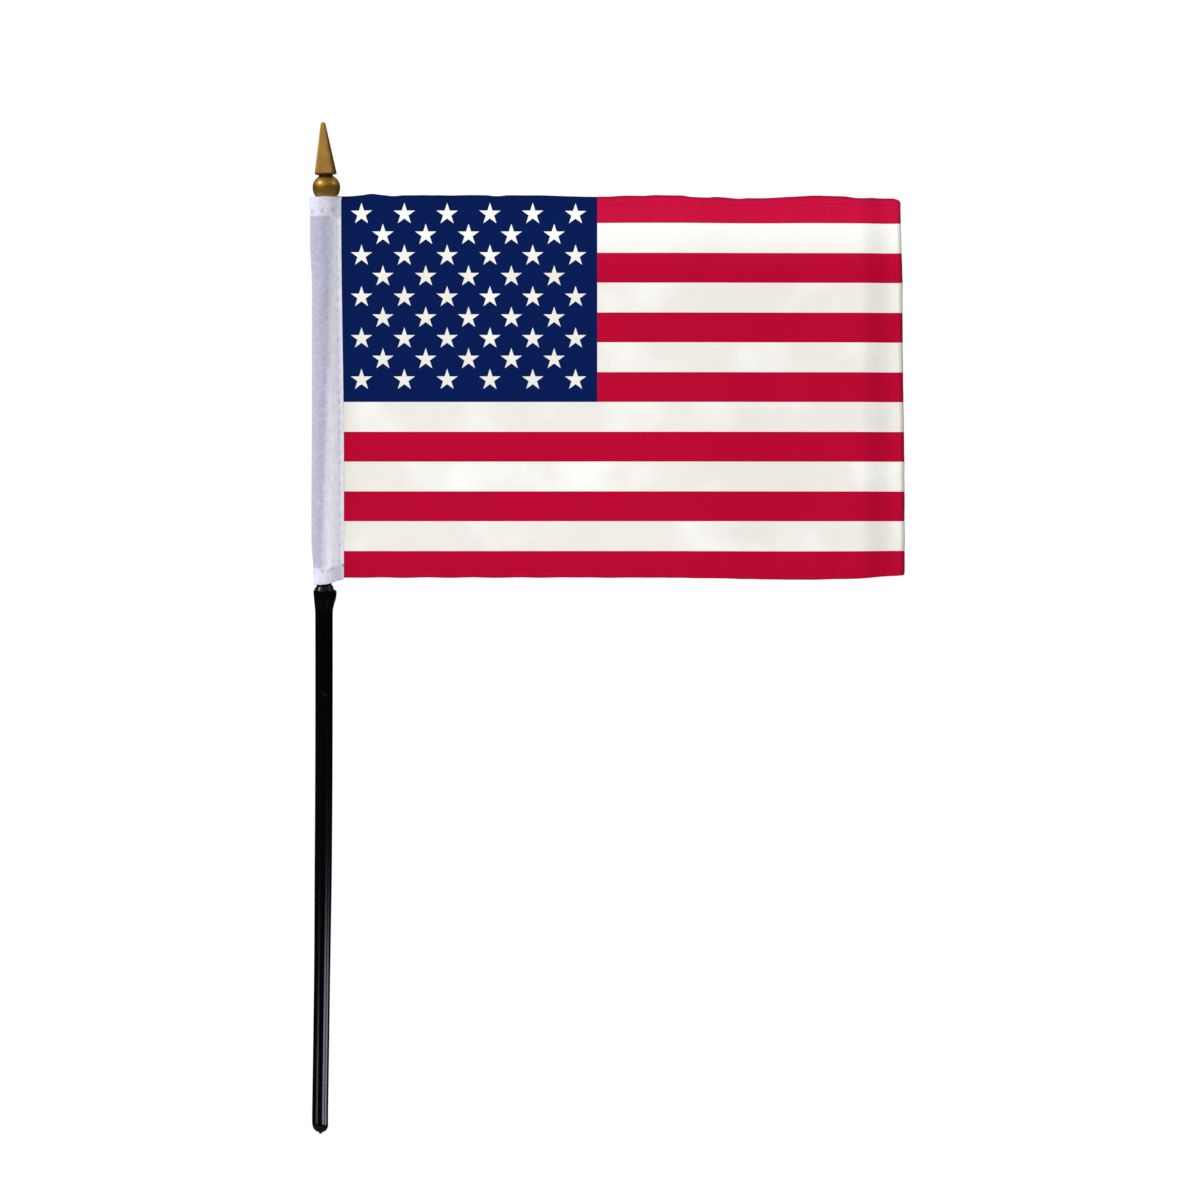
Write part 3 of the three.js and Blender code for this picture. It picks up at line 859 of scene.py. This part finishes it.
def stitched(length, spot, side, sink, rise):
    """Points of one thread of a row of lockstitch. spot(s) gives the cloth's own point at s
    millimetres along the row, and side is the direction off the cloth."""
    points = []
    count = max(1, round(length / stitch))
    shape = ((0.0, -sink), (0.07, 0.0), (0.2, rise), (0.5, rise * 1.15), (0.8, rise), (0.93, 0.0))
    for number in range(count):
        for share, height in shape:
            at = (number + share) * length / count
            points.append(spot(at) + side(at) * height)
    points.append(spot(length) - side(length) * sink)
    return points


def make_threads(white, printed):
    """Both threads of every row. The needle's thread is in front or outside, and the bobbin's is
    behind or inside. Returns each piece with the node that it stands for and its body."""
    made = []

    def sew(row, word, points, radius, material, body):
        piece = make_thread(f"{row}_{word}", points, radius, material, body == "flag")
        made.append((piece, f"{row}_{word}_thread", body))

    front, behind = Vector((0, -1, 0)), Vector((0, 1, 0))
    fine, plain = 0.05, 0.09  # radii of the flag's threads and of the sleeve's
    from_ends, from_raw_edge = 1.6, 0.5
    length = flag_high.x - flag_edge - 2 * from_ends
    height = flag_high.z - flag_low.z - 2 * (hem + from_raw_edge)
    first = flag_edge + from_ends
    lowest = flag_low.z + hem + from_raw_edge
    top_row, bottom_row = flag_high.z - hem + from_raw_edge, flag_low.z + hem - from_raw_edge
    fly_row = flag_high.x - fly_hem + from_raw_edge
    rows = {
        "top_hem": (length, fold_radius, lambda s, lift: on_flag(first + s, top_row, lift)),
        "bottom_hem": (length, fold_radius, lambda s, lift: on_flag(first + s, bottom_row, lift)),
        "fly_hem": (height, fly_radius, lambda s, lift: on_flag(fly_row, lowest + s, lift)),
    }
    wall = flag_wall / 2
    for row, (run, fold, spot) in rows.items():
        needle = stitched(run, lambda s: spot(s, -wall), lambda s: front, 0.03, 0.02)
        bobbin = stitched(run, lambda s: spot(s, 2 * fold + wall), lambda s: behind, 0.03, 0.03)
        sew(row, "needle", needle, fine, printed, "flag")
        sew(row, "bobbin", bobbin, fine, printed, "flag")

    bottom, top = sleeve_base + 2.4, sleeve_top - 0.7
    on_cloth = sleeve_wall / 2 - 0.1  # where the rows lie, just under the skin of the sleeve

    def seam(side):
        def spot(s):
            z = bottom + s
            row, _ = seam_line(z)
            return Vector((row, side * (seam_gap + hem_layer * doubled_at(z) + on_cloth), z))

        return spot

    for side, direction, word in ((-1, front, "needle"), (1, behind, "bobbin")):
        points = stitched(top - bottom, seam(side), lambda s, d=direction: d, 0.05, 0.09)
        sew("header_seam", word, points, plain, white, "sleeve")

    hem_run, hem_share = 17.0, 0.86  # a hem's row in millimetres, and as a share of the half strip
    for at_top, where in ((True, "sleeve_top"), (False, "sleeve_bottom")):
        z = hem_row(at_top)
        for outside, word in ((True, "needle"), (False, "bobbin")):
            out = hem_layer + on_cloth if outside else -sleeve_wall / 2

            def spot(s, z=z, out=out):
                around = -hem_share + 2 * hem_share * s / hem_run
                point = sleeve_point(math.copysign(1, around), abs(around), z, out)
                point.z = sleeve_edge_height(point.x, z) + hem_slope * point.x
                return point

            def side(s, spot=spot, outside=outside):
                point = spot(s)
                away = Vector((0.5 * point.x, point.y, 0)).normalized()
                return away if outside else -away

            points = stitched(hem_run, spot, side, 0.05, 0.09 if outside else 0.03)
            sew(where, word, points, plain, white, "sleeve")
    return made


# Assembly

staff = make_staff()
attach(staff, "staff")
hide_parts("staff")

finial = make_finial()
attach(finial, "finial")
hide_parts("finial")

reds, faded_reds = ("#B90030", "#CB0C3F"), ("#C02445", "#CC3352")
print_front = printed_satin("dye-printed satin polyester, face", reds, "#EDEAE3", "#001A56", 0.5)
print_back = printed_satin("dye-printed satin polyester, reverse", faded_reds, "#F0EDE8", "#152C60", 0.6)
tape = sleeve_cloth()
white_thread = sewing_thread("spun polyester thread, white", "#F2F0FA", 0.8)

sleeve = make_sleeve(tape)
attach(sleeve, "sleeve")
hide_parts("sleeve")

flag = make_flag(print_front, print_back)
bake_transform(flag)
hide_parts("flag")

on_sleeve, with_flag = [], []
for thread, node, body in make_threads(white_thread, print_front):
    if body == "sleeve":
        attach(thread, body)
        on_sleeve.append(thread)
    elif node.startswith("fly"):
        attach(thread, body)
        with_flag.append(thread)
    else:
        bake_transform(thread)
        with_flag.append(thread)
    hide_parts(node)

# Stage: a pale floor well below the staff's foot, soft lamps and a white sky

floor_radius, floor_height = 5500, -700
floor_mesh = bmesh.new()
bmesh.ops.create_circle(floor_mesh, cap_ends=True, segments=64, radius=floor_radius)
bmesh.ops.translate(floor_mesh, vec=(0, 0, floor_height), verts=floor_mesh.verts)
floor_paint, _, _ = new_material("matt white floor", Base_Color=colour("#F4F4F4"), Roughness=0.9)
floor = new_piece("floor", floor_mesh, floor_paint)
floor.visible_glossy = False

scene = bpy.context.scene
view_centre = Vector((72.9, 0, 141.2)) * MM
view_width = 316.4 * MM
view_distance = 2.2

lens = bpy.data.cameras.new("camera")
lens.sensor_width = 36
lens.lens = lens.sensor_width * view_distance / view_width
camera = bpy.data.objects.new("camera", lens)
scene.collection.objects.link(camera)
camera.location = view_centre - Vector((0, view_distance, 0))
# The staff leans 0.4 degrees to the right in this view, so that the stripes lie level.
camera.rotation_euler = (math.radians(90), math.radians(-0.4), 0)
scene.camera = camera


def area_lamp(name, place, width, height, watts, tint="#FFFFFF"):
    """A rectangular lamp that faces the middle of the view."""
    lamp = bpy.data.lights.new(name, "AREA")
    lamp.shape = "RECTANGLE"
    lamp.size, lamp.size_y = width, height
    lamp.energy = watts
    lamp.color = colour(tint)[:3]
    holder = bpy.data.objects.new(name, lamp)
    scene.collection.objects.link(holder)
    holder.location = place
    holder.rotation_euler = (view_centre - Vector(place)).to_track_quat("-Z", "Y").to_euler()
    return holder


# Each lamp's place, width and height are in metres, and its power is in watts.
area_lamp("key", (-1.44, -0.6, 1.36), 0.5, 0.4, 10)
area_lamp("soft", (-1.3, -0.9, 1.2), 1.1, 1.1, 3)
area_lamp("fill", (-0.53, -1.4, 0.86), 1.0, 0.6, 0.9)
area_lamp("side", (1.2, -0.3, 1.0), 0.5, 0.5, 1.3)
# Three low gridded lamps lay the streaks on the bare staff's foot.
strip_height, strip_spread = 0.08, math.radians(40)
for name, place, width, watts, tint in (
    ("left strip", (-0.37, -0.34, -0.03), 0.3, 0.012, "#F0ECFF"),
    ("right strip", (0.36, -0.347, -0.022), 0.34, 0.055, "#DCDCF8"),
    ("far right strip", (0.499, -0.03, -0.022), 0.34, 0.045, "#DCDCF8"),
):
    strip = area_lamp(name, place, width, strip_height, watts, tint)
    strip.data.spread = strip_spread
    strip.rotation_euler = Vector((-place[0], -place[1], 0)).to_track_quat("-Z", "Y").to_euler()

sky = bpy.data.worlds.new("white sky")
scene.world = sky
sky.use_nodes = True
sky_tree = sky.node_tree
ray = add(sky_tree, "LightPath")
heading = add(sky_tree, "SeparateXYZ", {0: add(sky_tree, "TexCoord")["Generated"]})
# Polished things see dark cards at their own height, and soft light slantwise over and under.
steep = add(sky_tree, "Math", {0: heading["Z"]}, operation="ABSOLUTE")[0]
slanting = add(sky_tree, "MapRange", {"Value": steep, "From Min": 0.12, "From Max": 0.6})[0]
dimmed = {"Value": steep, "From Min": 0.7, "From Max": 0.97, "To Min": 1.0, "To Max": 0.25}
overhead = add(sky_tree, "MapRange", dimmed)[0]
lit = add(sky_tree, "Math", {0: slanting, 1: overhead}, operation="MULTIPLY")[0]
card, soft_light = (0.012, 0.012, 0.013, 1), (0.28, 0.27, 0.26, 1)
studio = add(sky_tree, "Mix", {0: lit, 6: card, 7: soft_light}, data_type="RGBA")[2]
# Cloth and floor see a room that is brighter on its left.
leftness = add(sky_tree, "MapRange", {"Value": heading["X"], "From Min": 1.0, "From Max": -1.0})[0]
dim_wall, bright_wall = (0.47, 0.47, 0.47, 1), (1.29, 1.29, 1.29, 1)
room = add(sky_tree, "Mix", {0: leftness, 6: dim_wall, 7: bright_wall}, data_type="RGBA")[2]
seen = add(sky_tree, "Mix", {0: ray["Is Glossy Ray"], 6: room, 7: studio}, data_type="RGBA")[2]
backdrop = (1.02, 1.02, 1.02, 1)
shown = add(sky_tree, "Mix", {0: ray["Is Camera Ray"], 6: seen, 7: backdrop}, data_type="RGBA")[2]
sky_tree.links.new(shown, sky_tree.nodes["Background"].inputs["Color"])

scene.view_settings.view_transform = "Standard"
scene.view_settings.look = "None"
